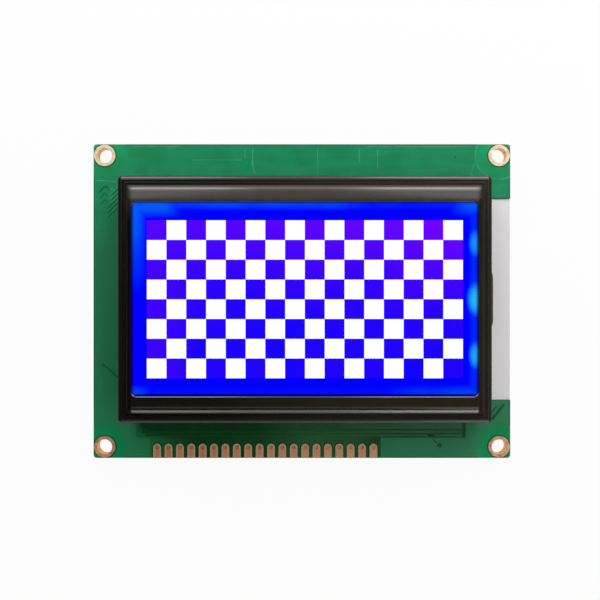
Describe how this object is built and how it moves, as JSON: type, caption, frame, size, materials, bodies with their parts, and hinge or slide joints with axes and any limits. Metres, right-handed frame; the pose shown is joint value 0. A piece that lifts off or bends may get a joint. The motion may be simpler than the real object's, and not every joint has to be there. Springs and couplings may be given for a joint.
{
  "type": "graphic lcd module",
  "caption": "Flat dot-matrix display module: green circuit board with corner mounting holes and edge pads, a backlit blue glass cell and a stepped black metal bezel.",
  "frame": {"origin": "centre of the four mounting holes, on the circuit board's back face", "axes": "+X along the board's long side to the viewer's right, +Y up the display, +Z out of the display towards the viewer"},
  "size_m": [0.093, 0.07, 0.0125],
  "materials": {
    "solder_mask": "semi-gloss green solder mask",
    "plating": "dull tinned copper",
    "pad_copper": "plated copper",
    "bezel_black": "satin black paint",
    "polariser_film": "clear film",
    "clear_glass": "clear",
    "seal_resin": "dark resin",
    "display_blue": "backlit blue",
    "display_white": "backlit white",
    "display_violet": "backlit violet blue",
    "diffuser_white": "matt white film",
    "guide_clear": "clear acrylic",
    "tray_white": "white moulded plastic",
    "led_board_white": "white solder mask",
    "led_resin": "clear resin",
    "tinned_metal": "tinned",
    "contact_rubber": "matt silicone rubber",
    "glob_resin": "black epoxy resin",
    "resistor_black": "glazed",
    "capacitor_tan": "matt"
  },
  "bodies": {
    "root": {"circuit_board": "solder_mask", "hole_eyelets": "plating", "edge_pads": "pad_copper", "metal_bezel": "bezel_black", "front_polariser": "polariser_film", "front_glass": "clear_glass", "cell_seal": "seal_resin", "liquid_crystal": "display_blue", "lit_dots": "display_white", "idle_dots": "display_violet", "rear_glass": "clear_glass", "rear_polariser": "polariser_film", "diffuser_sheet": "diffuser_white", "light_guide": "guide_clear", "reflector_sheet": "diffuser_white", "backlight_tray": "tray_white", "led_board": "led_board_white", "backlight_leds": "led_resin", "backlight_leads": "tinned_metal", "lead_solder": "tinned_metal", "upper_contact_strip": "contact_rubber", "lower_contact_strip": "contact_rubber", "controller_glob": "glob_resin", "left_driver_glob": "glob_resin", "right_driver_glob": "glob_resin", "chip_resistors": "resistor_black", "chip_capacitors": "capacitor_tan", "chip_end_caps": "tinned_metal"}
  },
  "joints": []
}
